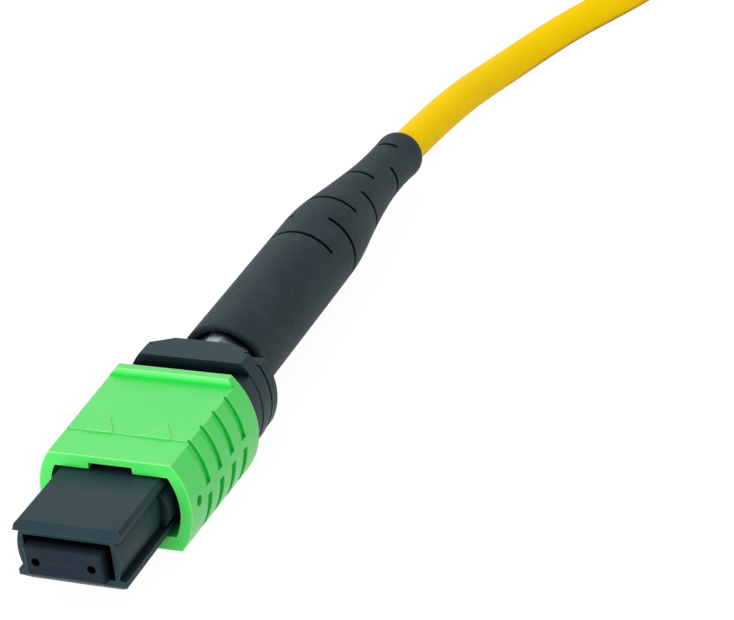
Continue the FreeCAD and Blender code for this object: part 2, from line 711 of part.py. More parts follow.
def make_pull_sleeve():
    """Gripping sleeve: round with flats, saw-tooth grooves on its sides and a rear lip."""
    body = new_body("pull_sleeve")
    cone = plan(body)
    outline(cone, [(ZERO, sleeve_front), (front_radius, sleeve_front),
                   (rear_radius, sleeve_rear), (ZERO, sleeve_rear)])
    turn(body, "PartDesign::Revolution", cone, "V_Axis")

    flats = side(body)
    ahead = sleeve_front - 1
    behind = sleeve_rear + 1
    clear = rear_radius + 1
    corners = [(ahead, half_sleeve), (sleeve_rear - d.lip_length - d.lip_ramp, half_sleeve),
               (sleeve_rear - d.lip_length, lip_top), (behind, lip_top),
               (behind, clear), (ahead, clear)]
    outline(flats, corners)
    outline(flats, [(along, -up) for along, up in reversed(corners)])
    pocket(body, flats, clear * 2, symmetric=True)

    teeth = plan(body)
    outside = rear_radius + 0.4
    for index in range(int(d.ridge_count.number)):
        wall = sleeve_front + d.ridge_first + d.ridge_pitch * index
        ramp_start = wall - d.ridge_length
        outline(teeth, [(outside, ramp_start), (outside, wall),
                        (sleeve_surface(wall) - d.ridge_depth, wall),
                        (sleeve_surface(ramp_start), ramp_start)])
    centre = -d.ridge_offset.number
    axis = teeth.addGeometry(Part.LineSegment(Vector(centre, sleeve_front.number, 0),
                                              Vector(centre, sleeve_rear.number, 0)), True)
    constrain(teeth, "DistanceX", (axis, 1), -d.ridge_offset)
    constrain(teeth, "DistanceX", (axis, 2), -d.ridge_offset)
    constrain(teeth, "DistanceY", (axis, 1), sleeve_front)
    constrain(teeth, "DistanceY", (axis, 2), sleeve_rear)
    grooves = turn(body, "PartDesign::Groove", teeth, "Axis0", as_size(120.0))

    band = plan(body)
    band_front = sleeve_front + d.ridge_first - d.ridge_length
    band_rear = sleeve_front + d.ridge_first + d.ridge_pitch * (d.ridge_count - 1)
    outline(band, [(sleeve_surface(band_front) - d.ridge_depth - 0.1, band_front),
                   (sleeve_surface(band_front), band_front), (sleeve_surface(band_rear), band_rear),
                   (sleeve_surface(band_rear) - d.ridge_depth - 0.1, band_rear)])
    plain_band = turn(body, "PartDesign::Revolution", band, "V_Axis", d.band_angle)
    mirrored = body.newObject("PartDesign::Mirrored", "Mirrored")
    mirrored.Originals = [grooves, plain_band]
    mirrored.MirrorPlane = ([part for part in body.Origin.OriginFeatures
                             if part.Role == "YZ_Plane"][0], [""])
    body.Tip = mirrored
    doc.recompute()

    panel = side(body)
    rectangle(panel, sleeve_front, sleeve_front + d.panel_length,
              half_sleeve - d.panel_depth, half_sleeve + 0.1)
    pocket(body, panel, clear * 2, symmetric=True)

    arrows = plan(body, half_sleeve)
    base = sleeve_front + d.panel_length
    for sign in (-1, 1):
        centre = d.arrow_offset * sign
        outline(arrows, [(centre - d.arrow_width / 2, base), (centre + d.arrow_width / 2, base),
                         (centre, base + d.arrow_length)])
    pad(body, arrows, d.arrow_rise)

    bore = section(body, sleeve_front)
    barrel(bore, d.bore_flat / 2, half_bore, d.bore_width / 2)
    pocket(body, bore, d.sleeve_length)
    rear_bore = section(body, sleeve_rear - d.rear_bore_length)
    round_with_flats(rear_bore, neck_diameter + d.neck_gap_side * 2, d.neck_height + d.neck_gap * 2)
    pocket(body, rear_bore, d.rear_bore_length)
    keyways = section(body, sleeve_front)
    centred(keyways, d.key_width / 2 + d.keyway_gap, half_housing + d.key_height + d.keyway_gap)
    pocket(body, keyways, d.sleeve_length)

    tabs = section(body, tab_front)
    half_tab = d.tab_height / 2
    tab_tip = d.channel_floor + d.tab_gap
    tab_root = d.bore_width / 2 + 0.2
    rectangle(tabs, tab_tip, tab_root, -half_tab, half_tab)
    rectangle(tabs, -tab_root, -tab_tip, -half_tab, half_tab)
    pad_rearwards(body, tabs, d.tab_length)

    dimples = side(body)
    disc(dimples, sleeve_front + d.dimple_start, ZERO, d.dimple_diameter / 2)
    for sign in (-1, 1):
        cut = body.newObject("PartDesign::Pocket", "Dimple")
        cut.Profile = dimples
        cut.SideType = "Two sides"
        near = clear
        far = d.dimple_depth - front_radius
        cut.setExpression("Length", (far if sign > 0 else near).formula)
        cut.setExpression("Length2", (near if sign > 0 else far).formula)
        doc.recompute()


def make_return_spring(side_name, sign):
    """Small round spring between the sleeve's tab and the end of its channel."""
    wire = d.return_wire.number
    radius = (d.return_diameter.number - wire) / 2
    front = tab_rear.number + wire / 2
    rear = channel_rear.number - wire / 2
    across = sign * (d.channel_floor.number + d.return_diameter.number / 2 + 0.06)
    steps = 8
    count = int(d.return_turns.number) * steps
    points = []
    for step in range(count + 1):
        angle = 2 * math.pi * step / steps
        along = front + (rear - front) * step / count
        points.append(Vector(across + radius * math.cos(angle), along, radius * math.sin(angle)))
    part_feature(f"return_spring_{side_name}", coiled_wire(points, wire / 2, Vector(0, 0, 1)))


# ---- rear body, yarn and crimp ring -------------------------------------------------------

def make_rear_body():
    """Collar with flats, seam groove and faceted rim, a clip-in tongue and a crimp post."""
    body = new_body("rear_body")
    collar = section(body, collar_front)
    round_with_flats(collar, d.collar_diameter, d.collar_height)
    pad_rearwards(body, collar, collar_rear - collar_front)
    neck = section(body, housing_rear)
    round_with_flats(neck, neck_diameter, d.neck_height)
    pad_rearwards(body, neck, collar_front - housing_rear)
    tongue = section(body, tongue_front)
    half_tongue = chamber_side - d.tongue_gap
    centred(tongue, half_tongue, chamber_top - d.tongue_gap)
    pad_rearwards(body, tongue, d.tongue_length)

    clips = plan(body)
    clip_front = clip_window_front + d.clip_gap
    clip_rear = clip_front + d.clip_window_length - d.clip_gap * 2
    tip = half_tongue + d.clip_reach
    outline(clips, [(half_tongue - 0.2, clip_front), (tip, clip_rear - 0.3), (tip, clip_rear),
                    (half_tongue - 0.2, clip_rear)])
    outline(clips, [(-half_tongue + 0.2, clip_front), (-half_tongue + 0.2, clip_rear),
                    (-tip, clip_rear), (-tip, clip_rear - 0.3)])
    pad(body, clips, d.clip_window_height - d.clip_gap * 2, symmetric=True)

    seam = plan(body)
    outline(seam, [(d.collar_diameter / 2 - d.seam_depth, seam_front),
                   (d.collar_diameter / 2 + 0.5, seam_front),
                   (d.collar_diameter / 2 + 0.5, rim_front),
                   (d.collar_diameter / 2 - d.seam_depth, rim_front)])
    turn(body, "PartDesign::Groove", seam, "V_Axis")

    facets = plan(body, d.neck_height / 2)
    corner = flat_reach(d.collar_diameter, d.collar_height)
    outside = d.collar_diameter / 2 + 1
    for sign in (1, -1):
        corners = [(corner - d.rim_facet, collar_rear), (corner, rim_front),
                   (outside, rim_front - (d.rim_length / d.rim_facet) * (outside - corner)),
                   (outside, collar_rear + 0.5), (corner - d.rim_facet, collar_rear + 0.5)]
        if sign < 0:
            corners = [(-across, along) for across, along in reversed(corners)]
        outline(facets, corners)
    cut = pocket(body, facets, d.collar_height, backwards=True)
    mirrored = body.newObject("PartDesign::Mirrored", "Mirrored")
    mirrored.Originals = [cut]
    mirrored.MirrorPlane = ([part for part in body.Origin.OriginFeatures
                             if part.Role == "XY_Plane"][0], [""])
    body.Tip = mirrored
    doc.recompute()

    post = section(body, collar_rear)
    disc(post, ZERO, ZERO, d.post_diameter / 2)
    pad_rearwards(body, post, d.post_length)
    rings = plan(body)
    ring_pitch = d.post_length / 4
    surface = d.post_diameter / 2
    for index in (1, 2, 3):
        middle = collar_rear + ring_pitch * index
        outline(rings, [(surface - 0.2, middle - 0.3), (surface, middle - 0.3),
                        (surface + d.post_ring, middle), (surface, middle + 0.3),
                        (surface - 0.2, middle + 0.3)])
    turn(body, "PartDesign::Revolution", rings, "V_Axis")

    passage = section(body, tongue_front)
    centred(passage, d.passage_width / 2, d.passage_height / 2)
    pocket(body, passage, collar_front - tongue_front)
    bore = section(body, collar_front)
    disc(bore, ZERO, ZERO, d.post_bore / 2)
    pocket(body, bore, post_rear - collar_front)


def make_yarn():
    """Strength yarn: out of the jacket, over the end of the post and under the ring."""
    inside = d.post_diameter / 2 + d.post_ring + d.yarn_gap
    outside = inside + d.yarn_thickness
    turn_back = post_rear + d.yarn_gap
    core = d.jacket_bore / 2
    solid_of_revolution("strength_yarn", [
        (inside, collar_rear + 0.3), (outside, collar_rear + 0.3),
        (outside, turn_back + d.yarn_thickness / 2),
        (core + d.yarn_thickness + 0.1, jacket_end), (core, jacket_end),
        (inside, turn_back)])


def make_crimp_ring():
    """Metal ring pressed to six flats over the post, with a neck pressed on the jacket."""
    shoulder = post_rear + 0.2
    neck_front = shoulder + d.crimp_taper
    neck_inside = jacket_radius + d.yarn_gap
    front = shoulder - d.crimp_length
    body = solid_of_revolution("crimp_ring", [
        (ring_inside, front), (ring_outside, front), (ring_outside, shoulder),
        (neck_inside + d.crimp_wall, neck_front), (neck_inside + d.crimp_wall, crimp_end),
        (neck_inside, crimp_end), (neck_inside, neck_front), (ring_inside, shoulder)])
    flats = section(body, front + 0.45)
    disc(flats, ZERO, ZERO, ring_outside + 0.5)
    half_flat = d.crimp_flat / 2
    vertex = half_flat / math.cos(math.pi / 6)
    outline(flats, [(vertex * math.sin(math.pi / 3 * index), vertex * math.cos(math.pi / 3 * index))
                    for index in (0, 5, 4, 3, 2, 1)])
    pocket(body, flats, d.crimp_length - 1.3)


# ---- strain relief and cable ----------------------------------------------------------------

BEND_PLANE = Vector(0.664, 0, -0.748).normalize()


def spine_at(station):
    """Point and direction of the strain relief's centre line, bent towards the surface."""
    radius = d.relief_bend_radius.number
    start = bend_start.number
    if station <= start:
        return Vector(0, station, 0), Vector(0, 1, 0)
    angle = (station - start) / radius
    along = Vector(0, 1, 0)
    place = Vector(0, start, 0) + along * (radius * math.sin(angle))
    place += BEND_PLANE * (radius * (1 - math.cos(angle)))
    return place, along * math.cos(angle) + BEND_PLANE * math.sin(angle)


def spine_wire(first, last):
    """The centre line between two stations: a straight run and the bend's arc."""
    start = bend_start.number
    middle = spine_at((start + last) / 2)[0]
    edges = [Part.LineSegment(spine_at(first)[0], spine_at(start)[0]).toShape(),
             Part.Arc(spine_at(start)[0], middle, spine_at(last)[0]).toShape()]
    return Part.Wire(edges)


def slit(station, middle_angle, span):
    """A thin sector of a disc across the strain relief, clear of its bore."""
    place, direction = spine_at(station)
    inner = jacket_radius.number + d.relief_clearance.number + d.slit_skin.number
    outer = d.relief_diameter.number
    width = d.slit_width.number
    sector = Part.makeCylinder(outer, width, Vector(0, 0, -width / 2), Vector(0, 0, 1), span)
    sector = sector.cut(Part.makeCylinder(inner, width * 2, Vector(0, 0, -width)))
    sector.rotate(Vector(0, 0, 0), Vector(0, 0, 1), middle_angle - span / 2)
    sector.Placement = Placement(place, Rotation(Vector(0, 0, 1), direction)
                                 * Rotation(Vector(0, 0, 1), 0)).multiply(sector.Placement)
    return sector


def make_strain_relief():
    """Rubber boot: straight over the ring, tapering to a waist, with staggered slits."""
    front = relief_front.number
    end = relief_end.number
    radius = d.relief_diameter.number / 2
    waist = d.relief_waist.number / 2
    tip = d.relief_tip.number / 2
    rim = d.relief_rim.number
    straight_end = front + d.relief_straight.number
    rim_middle = Vector(radius - rim + rim * math.sin(math.pi / 4),
                        front + rim - rim * math.cos(math.pi / 4), 0)
    corners = [Vector(0, front, 0), Vector(radius - rim, front, 0), Vector(radius, front + rim, 0),
               Vector(radius, straight_end - 1, 0), Vector(0, straight_end - 1, 0)]
    edges = [Part.LineSegment(corners[0], corners[1]).toShape(),
             Part.Arc(corners[1], rim_middle, corners[2]).toShape(),
             Part.LineSegment(corners[2], corners[3]).toShape(),
             Part.LineSegment(corners[3], corners[4]).toShape(),
             Part.LineSegment(corners[4], corners[0]).toShape()]
    front_part = Part.Face(Part.Wire(edges)).revolve(Vector(0, 0, 0), Vector(0, 1, 0), 360)

    taper = end - straight_end
    shares = [(-1.0 / taper, 0.0), (0.0, 0.0), (0.13, 0.06), (0.31, 0.38), (0.5, 0.71),
              (0.68, 0.94), (0.82, 1.0)]
    stations = [(straight_end + share * taper, radius + (waist - radius) * fall)
                for share, fall in shares]
    stations += [(end - 1.6, tip), (end - 0.5, tip - 0.02), (end, tip - 0.3)]
    rings = []
    for station, ring in stations:
        place, direction = spine_at(station)
        rings.append(Part.Wire(Part.makeCircle(ring, place, direction)))
    tail = Part.makeLoft(rings, True, False)
    outer = front_part.fuse(tail).removeSplitter()

    clear = d.relief_clearance.number
    pocket_end = post_rear.number + 0.3
    neck_radius = jacket_radius.number + d.crimp_wall.number + d.yarn_gap.number + clear
    cavity = Part.makeCylinder(ring_outside.number + clear, pocket_end - front + 1,
                               Vector(0, front - 1, 0), Vector(0, 1, 0))
    cone = Part.makeCone(ring_outside.number + clear, neck_radius, d.crimp_taper.number,
                         Vector(0, pocket_end, 0), Vector(0, 1, 0))
    neck = Part.makeCylinder(neck_radius, crimp_end.number + 0.3 - pocket_end,
                             Vector(0, pocket_end, 0), Vector(0, 1, 0))
    bore_path = spine_wire(pocket_end, end + 1)
    bore = tube_along(bore_path, jacket_radius.number + clear, Vector(0, pocket_end, 0),
                      Vector(0, 1, 0))
    shape = outer.cut([cavity, cone, neck, bore])

    first = front + d.slit_first.number
    cuts = []
    for index, span in enumerate(TOP_SLIT_SPANS):
        for angle in (90, 270):
            cuts.append(slit(first + index * d.slit_pitch.number, angle, span))
    for index, span in enumerate(SIDE_SLIT_SPANS):
        station = first + d.slit_stagger.number + index * d.slit_pitch.number
        for angle in (0, 180):
            cuts.append(slit(station, angle, span))
    part_feature("strain_relief", shape.cut(cuts))


def make_held_cable():
    """The end of the cable that the ring and the strain relief hold."""
    first = jacket_end.number
    wire = spine_wire(first, relief_end.number)
    start = Vector(0, first, 0)
    jacket = tube_along(wire, jacket_radius.number, start, Vector(0, 1, 0))
    core = tube_along(wire, d.jacket_bore.number / 2, start, Vector(0, 1, 0))
    part_feature("held_cable", jacket.cut(core))


def make_cable_lead():
    """The cable from the strain relief down to the surface and along it to the hank."""
    tip, direction = spine_at(relief_end.number)
    route = [place + Vector(0, relief_end.number, 0) for place in CABLE_ROUTE]
    wire = route_wire([tip] + route, "cable")
    first_run = route[0] - tip
    shape = tube_along(wire, jacket_radius.number, tip, first_run)
    expected = math.pi * jacket_radius.number ** 2 * wire.Length
    print(f"cable lead length {wire.Length:.1f}, volume {shape.Volume:.1f} of {expected:.1f}")
    print(f"cable lead leaves the tip {math.degrees(direction.getAngle(first_run)):.2f} degrees off")
    part_feature("cable_lead", shape)


def racetrack(sketch, half_width, run):
    """Two straight runs joined by half circles."""
    corners = [(half_width, ZERO), (half_width, run), (-half_width, run), (-half_width, ZERO)]
    outline(sketch, corners, {1: ((ZERO, run + half_width), None), 3: ((ZERO, -half_width), None)})


def make_cable_hank():
    """Outer shape of the put-away turns, wound round two runs and lying on the surface."""
    body = new_body("cable_hank")
    body.Placement.Base = HANK_PLACE + Vector(0, relief_end.number, 0)
    outside = d.hank_loop + jacket_radius
    base = plan(body)
    racetrack(base, outside, d.hank_run)
    racetrack(base, outside - d.cable_diameter * d.hank_turns_wide, d.hank_run)
    pad(body, base, d.cable_diameter * d.hank_turns_high)


make_ferrule()
make_grommet()
make_pin_keeper()
make_ferrule_spring()
for number, name in enumerate(FIBRE_COLOURS):
    make_fibre(number, name)
make_inner_housing()
make_pull_sleeve()
make_return_spring("left", -1)
make_return_spring("right", 1)
make_rear_body()
make_yarn()
make_crimp_ring()
make_strain_relief()
make_held_cable()
make_cable_lead()
make_cable_hank()
doc.recompute()

# Every object has to be sound before anything is written.
for item in doc.Objects:
    if "Invalid" in item.State or "Error" in item.State:
        raise RuntimeError(f"{item.Label} failed: {item.State}")
pieces = [item for item in doc.Objects if item.TypeId in ("PartDesign::Body", "Part::Feature")]
for piece in pieces:
    if piece.Shape.isNull() or not piece.Shape.isValid():
        raise RuntimeError(f"{piece.Label} has no valid shape")

os.makedirs("parts", exist_ok=True)
for piece in pieces:
    piece.Shape.exportStep(f"parts/{piece.Label}.step")
    box = piece.Shape.BoundBox
    print(f"{piece.Label:22s} solids {len(piece.Shape.Solids)}  volume {piece.Shape.Volume:9.3f}  "
          f"x {box.XMin:7.2f} {box.XMax:7.2f}  y {box.YMin:7.2f} {box.YMax:7.2f}  "
          f"z {box.ZMin:6.2f} {box.ZMax:6.2f}")
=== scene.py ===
# %% [markdown]
# # A twelve-fibre push-on connector
#
# This lesson dresses a small optical connector: a dark resin ferrule in a blue-black
# housing, a bright green sleeve that is pulled to let go, a dark strain relief with
# staggered slits, and a yellow round cable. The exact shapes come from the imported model,
# so the work here is the camera, the light, the finishes and the soft cable.

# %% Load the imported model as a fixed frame
import math

import bpy
from mathutils import Matrix, Vector


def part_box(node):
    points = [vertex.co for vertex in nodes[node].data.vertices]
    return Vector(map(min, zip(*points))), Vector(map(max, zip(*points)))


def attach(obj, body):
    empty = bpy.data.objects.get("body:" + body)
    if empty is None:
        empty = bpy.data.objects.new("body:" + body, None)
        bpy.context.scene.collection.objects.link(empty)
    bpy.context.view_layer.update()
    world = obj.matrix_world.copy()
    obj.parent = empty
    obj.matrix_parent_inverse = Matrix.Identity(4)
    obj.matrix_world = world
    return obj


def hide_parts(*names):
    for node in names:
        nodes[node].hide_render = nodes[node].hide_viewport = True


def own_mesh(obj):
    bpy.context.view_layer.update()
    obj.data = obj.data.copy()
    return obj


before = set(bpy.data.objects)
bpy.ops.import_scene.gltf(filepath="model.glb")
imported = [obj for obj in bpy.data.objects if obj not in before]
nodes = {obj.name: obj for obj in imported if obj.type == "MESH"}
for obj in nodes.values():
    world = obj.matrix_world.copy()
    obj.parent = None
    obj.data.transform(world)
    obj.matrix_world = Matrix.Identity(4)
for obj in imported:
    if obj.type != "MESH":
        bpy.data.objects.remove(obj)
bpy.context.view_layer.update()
scene = bpy.context.scene
MM = 0.001


def low(node):
    """Lowest corner of a node's box."""
    return Vector(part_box(node)[0])


def high(node):
    """Highest corner of a node's box."""
    return Vector(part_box(node)[1])


# %% [markdown]
# ## The camera
#
# A small thing is usually shot from near its own height above the table with a long lens,
# which keeps its parallel edges almost parallel. One way to place such a camera is to type
# a location and three angles. Here it is worked out from an azimuth, an elevation and a
# small roll round the view's own axis, because those three are easy to reason about.

# %% Long lens, low over the plug's nose
azimuth, elevation, roll = (math.radians(angle) for angle in (23.54, 28.28, -6.27))
distance = 192.05 * MM
slide_right, slide_up = 22.25 * MM, 18.77 * MM
lens_mm, sensor_mm = 128.55, 36
nearest, farthest = 0.01, 10

back = Vector((math.sin(azimuth) * math.cos(elevation),
               -math.cos(azimuth) * math.cos(elevation), math.sin(elevation)))
level = Vector((math.cos(azimuth), math.sin(azimuth), 0))
upright = back.cross(level)
right = level * math.cos(roll) + upright * math.sin(roll)
up = upright * math.cos(roll) - level * math.sin(roll)
eye = back * distance + right * slide_right + up * slide_up

scene.view_settings.view_transform = "Standard"
camera_data = bpy.data.cameras.new("camera")
camera_data.lens = lens_mm
camera_data.sensor_width = sensor_mm
camera_data.clip_start = nearest
camera_data.clip_end = farthest
camera = bpy.data.objects.new("camera", camera_data)
camera.matrix_world = Matrix((right, up, back)).transposed().to_4x4()
camera.location = eye
scene.collection.objects.link(camera)
scene.camera = camera
print("camera at", [round(value / MM, 1) for value in eye], "mm")

# %% [markdown]
# ## Arithmetic on sockets
#
# A finish is easier to read as a formula than as a drawing of wires. The small class below
# wraps one output socket, so that `speckle * 0.2 + 0.4` adds the Math nodes by itself. The
# second class is one material: its `add` makes any other node from its type, its settings
# and the values or links of its sockets.


# %% A socket that takes part in Python expressions
class Flow:
    """One output socket and the finish that it belongs to."""

    def __init__(self, finish, socket):
        self.finish = finish
        self.socket = socket

    def maths(self, operation, first, second):
        return self.finish.add("ShaderNodeMath", {"operation": operation},
                               {0: first, 1: second})

    def __add__(self, other):
        return self.maths("ADD", self, other)

    def __radd__(self, other):
        return self.maths("ADD", other, self)

    def __sub__(self, other):
        return self.maths("SUBTRACT", self, other)

    def __rsub__(self, other):
        return self.maths("SUBTRACT", other, self)

    def __mul__(self, other):
        return self.maths("MULTIPLY", self, other)

    def __rmul__(self, other):
        return self.maths("MULTIPLY", other, self)


# %% One material and the way to add any node to it
RAYS = 6                        # rays that the edge and crease nodes send out
FLAT_TO_EDGE = (0.995, 0.9)     # how far the rounded normal agrees with the face's own
CREASE_TO_OPEN = (0.45, 0.97)   # share of the sky that a point sees
NOISE_SPAN = (0.3, 0.7)         # nearly all values of a noise lie between these


class Finish:
    """One material with a Principled BSDF."""

    def __init__(self, name):
        self.material = bpy.data.materials.new(name)
        self.material.use_nodes = True
        self.tree = self.material.node_tree
        self.shader = self.tree.nodes["Principled BSDF"]

    def add(self, kind, settings=None, sockets=None, output=0):
        """Any node: its type, its settings, what its sockets take, and which output."""
        node = self.tree.nodes.new(kind)
        for setting, value in (settings or {}).items():
            setattr(node, setting, value)
        for name, value in (sockets or {}).items():
            self.feed(node.inputs[name], value)
        return Flow(self, node.outputs[output])

    def feed(self, socket, value):
        """Links a Flow to a socket, or sets a plain value on it."""
        if isinstance(value, Flow):
            self.tree.links.new(value.socket, socket)
        else:
            socket.default_value = value

    def plain(self, **values):
        """Numbers and colours that are the same all over the surface."""
        for name, value in values.items():
            title = name.replace("_", " ").title().replace("Ior", "IOR")
            self.shader.inputs[title].default_value = value

    def vary(self, **flows):
        """What changes over the surface."""
        for name, value in flows.items():
            self.feed(self.shader.inputs[name.replace("_", " ").title()], value)

    def millimetres(self):
        """The surface point in millimetres."""
        place = self.add("ShaderNodeTexCoord", output=3)
        return self.add("ShaderNodeVectorMath", {"operation": "SCALE"},
                        {0: place, "Scale": 1 / MM})

    def noise(self, place, per_mm, detail=3.0, roughness=0.5, distortion=0.0):
        """Soft random values with per_mm bumps to a millimetre."""
        return self.add("ShaderNodeTexNoise", {}, {
            "Vector": place, "Scale": per_mm, "Detail": detail,
            "Roughness": roughness, "Distortion": distortion})

    def between(self, value, low_end, high_end, to_low=0.0, to_high=1.0):
        """to_low up to low_end, to_high from high_end on, and a ramp from one to the other."""
        return self.add("ShaderNodeMapRange", {"clamp": True}, {
            "Value": value, "From Min": low_end, "From Max": high_end,
            "To Min": to_low, "To Max": to_high})

    def blend(self, share, first, second):
        """A colour from first to second as share goes from 0 to 1."""
        return self.add("ShaderNodeMix", {"data_type": "RGBA"},
                        {0: share, 6: first, 7: second}, output=2)

    def soft_edges(self, radius_mm):
        """A normal that rounds sharp moulded edges."""
        return self.add("ShaderNodeBevel", {"samples": RAYS}, {"Radius": radius_mm * MM})

    def edge_share(self, rounded):
        """Near 1 on a sharp edge and 0 on a flat face."""
        face_normal = self.add("ShaderNodeNewGeometry", output=1)
        agreement = self.add("ShaderNodeVectorMath", {"operation": "DOT_PRODUCT"},
                             {0: rounded, 1: face_normal}, output=1)
        return self.between(agreement, *FLAT_TO_EDGE)

    def openness(self, reach_mm):
        """Near 1 on open faces and edges, low in creases and under overhangs."""
        share = self.add("ShaderNodeAmbientOcclusion", {"samples": RAYS},
                         {"Distance": reach_mm * MM}, output=1)
        return self.between(share, *CREASE_TO_OPEN)

    def bump(self, height, depth_mm, normal=None, strength=1.0):
        """A normal tilted by a height, on top of another normal where one is given."""
        sockets = {"Height": height, "Distance": depth_mm * MM, "Strength": strength}
        if normal is not None:
            sockets["Normal"] = normal
        return self.add("ShaderNodeBump", {}, sockets)


def rgb(red, green, blue):
    """Screen colour, 0 to 255, as the linear colour that a shader takes."""
    linear = [((value / 255 + 0.055) / 1.055) ** 2.4 for value in (red, green, blue)]
    return (*linear, 1.0)


def dress(finish, *names):
    """Puts one finish on CAD nodes."""
    for name in names:
        slots = nodes[name].material_slots
        if not slots:
            nodes[name].data.materials.append(finish.material)
        for slot in slots:
            slot.material = finish.material
    print(finish.material.name, "on", ", ".join(names))


# %% [markdown]
# ## Moulded plastic
#
# The housing, the sleeve and the collar come out of polished steel moulds. Such plastic
# is never one flat colour: it flows, so the tone drifts a little over a centimetre, a very
# fine skin grain breaks the gloss, and every edge has a small radius that catches light. A
# bevelled mesh would need clean quads, so the edge radius is put in the shading normal,
# and a lighter edge colour is laid on top as a painted highlight. Down in a crease the
# colour is painted darker as painted shade and the coat is thinned, so it loses its gloss.
# Ambient Occlusion finds the creases, because it measures how much of the sky a point sees.


# %% Moulded plastic in any colour
def moulded(name, colours, roughness, edge_mm, crease_mm, grain_mm, grain_depth, gloss,
            fold_shade=None):
    """colours: the plastic, where it flowed lighter, the painted highlight on its edges, the
    painted shade in its creases.
    """
    edge_highlight_share, fold_shade_depth = 0.8, 0.7
    colour, lighter, edge_highlight_colour, crease_shade_colour = (rgb(*values) for values in colours)
    finish = Finish(name)
    place = finish.millimetres()
    drift = finish.noise(place, per_mm=0.12, detail=2.0)
    grain = finish.noise(place, per_mm=1.0 / grain_mm, detail=2.0, roughness=0.6)
    scuffs = finish.noise(place, per_mm=0.9, detail=4.0, roughness=0.65, distortion=0.4)
    rounded = finish.soft_edges(edge_mm)
    edge = finish.edge_share(rounded)
    tone = finish.blend(finish.between(drift, *NOISE_SPAN), colour, lighter)
    # Painted highlight: sharp edges take a lighter colour.
    tone = finish.blend(edge * edge_highlight_share, tone, edge_highlight_colour)
    # Painted shade: creases and the sleeve's folds take the darker crease colour and a thinner
    # coat.
    open_share = finish.openness(crease_mm)
    if fold_shade:
        open_share = open_share * (1 - fold_shade(finish, place) * fold_shade_depth)
    finish.vary(
        base_color=finish.blend(open_share, crease_shade_colour, tone),
        coat_weight=open_share * gloss,
        roughness=finish.between(scuffs, *NOISE_SPAN, roughness - 0.05, roughness + 0.06),
        normal=finish.bump(grain, grain_depth, rounded))
    finish.plain(specular_ior_level=0.04, coat_roughness=roughness)
    return finish


# %% [markdown]
# ## Painted shade along the sleeve's folds
#
# Each grip groove on the sleeve begins as a shallow ramp, and a full-width lip at the rear
# rises from the flats. Where such faces meet at a small angle no occlusion shows, so a
# soft line of painted shade is added there. The lines could be drawn as thin strips of mesh.
# Masks are lighter: each is a product of soft steps along one axis, and where they are 1
# the plastic takes its crease colour as painted shade.


# %% Where the lines of painted shade lie
def sleeve_fold_shade(finish, place):
    """Painted shade: 1 along the lines where the grip grooves' ramps begin and at the lip's
    foot.
    """
    split = finish.add("ShaderNodeSeparateXYZ", {}, {"Vector": place})
    across, along, up = (Flow(finish, split.socket.node.outputs[axis]) for axis in range(3))
    beside = finish.add("ShaderNodeMath", {"operation": "ABSOLUTE"}, {0: across})
    above = finish.add("ShaderNodeMath", {"operation": "ABSOLUTE"}, {0: up})

    first_groove, groove_pitch, last_pitch = 2.95, 2.2, 3
    pitches = (along - (low("pull_sleeve").y / MM + first_groove)) * (1 / groove_pitch)
    off_line = finish.add("ShaderNodeMath", {"operation": "PINGPONG"}, {0: pitches, 1: 0.5})
    line = finish.between(off_line, 0.015, 0.085, 1, 0)
    rows = finish.between(pitches, -0.2, -0.15) \
        * finish.between(pitches, last_pitch + 0.15, last_pitch + 0.2, 1, 0)
    off_band = finish.between(above, 0.35, 0.6)
    off_flats = finish.between(above, 3.72, 3.84, 1, 0)
    on_side = finish.between(beside, 4.6, 5.0)
    grooves = line * rows * on_side * (off_band * off_flats)

    lip_length, foot_shade_strength = 0.94, 1.35
    lip_front = high("pull_sleeve").y / MM - lip_length
    ramp = finish.between(along, lip_front - 0.03, lip_front) \
        * finish.between(along, lip_front + 0.18, lip_front + 0.3, 1, 0)
    on_flats = finish.between(above, 3.8, 3.86) * finish.between(above, 4.0, 4.35, 1, 0)
    return grooves + ramp * on_flats * foot_shade_strength


# %% Sleeve, housing and collar
# Colours: the plastic, where it flowed lighter, a painted highlight on edges, painted shade in
# creases.
sleeve_green = moulded(
    "sleeve_green", ((66, 217, 88), (78, 224, 98), (168, 255, 160), (14, 204, 64)),
    roughness=0.4, edge_mm=0.2, crease_mm=0.5, grain_mm=0.16, grain_depth=0.004, gloss=0.9,
    fold_shade=sleeve_fold_shade)
dress(sleeve_green, "pull_sleeve")
housing_plastic = moulded(
    "housing_plastic", ((32, 53, 60), (40, 61, 68), (70, 90, 97), (6, 18, 20)),
    roughness=0.42, edge_mm=0.08, crease_mm=0.8, grain_mm=0.14, grain_depth=0.006,
    gloss=0.22)
dress(housing_plastic, "inner_housing")
collar_plastic = moulded(
    "collar_plastic", ((33, 56, 62), (41, 64, 70), (68, 90, 96), (0, 8, 9)),
    roughness=0.44, edge_mm=0.1, crease_mm=1.8, grain_mm=0.14, grain_depth=0.006,
    gloss=0.22)
dress(collar_plastic, "rear_body")

# %% [markdown]
# ## Ferrule resin
#
# The ferrule is a glass-filled resin, ground and polished on its end face only. The end
# face is smoother than the moulded sides, so the roughness depends on how far back a
# point is. The fine filler shows as a faint speckle.

# %% Polished face, moulded sides
resin = Finish("ferrule_resin")
resin_place = resin.millimetres()
speckle = resin.noise(resin_place, per_mm=9.0, detail=3.0, roughness=0.7)
backwards = resin.add("ShaderNodeSeparateXYZ", {}, {"Vector": resin_place}, output=1)
moulded_side = resin.between(backwards, 0.02, 0.12)
resin_tone = resin.blend(resin.between(speckle, 0.35, 0.75),
                         rgb(22, 34, 44), rgb(30, 42, 52))
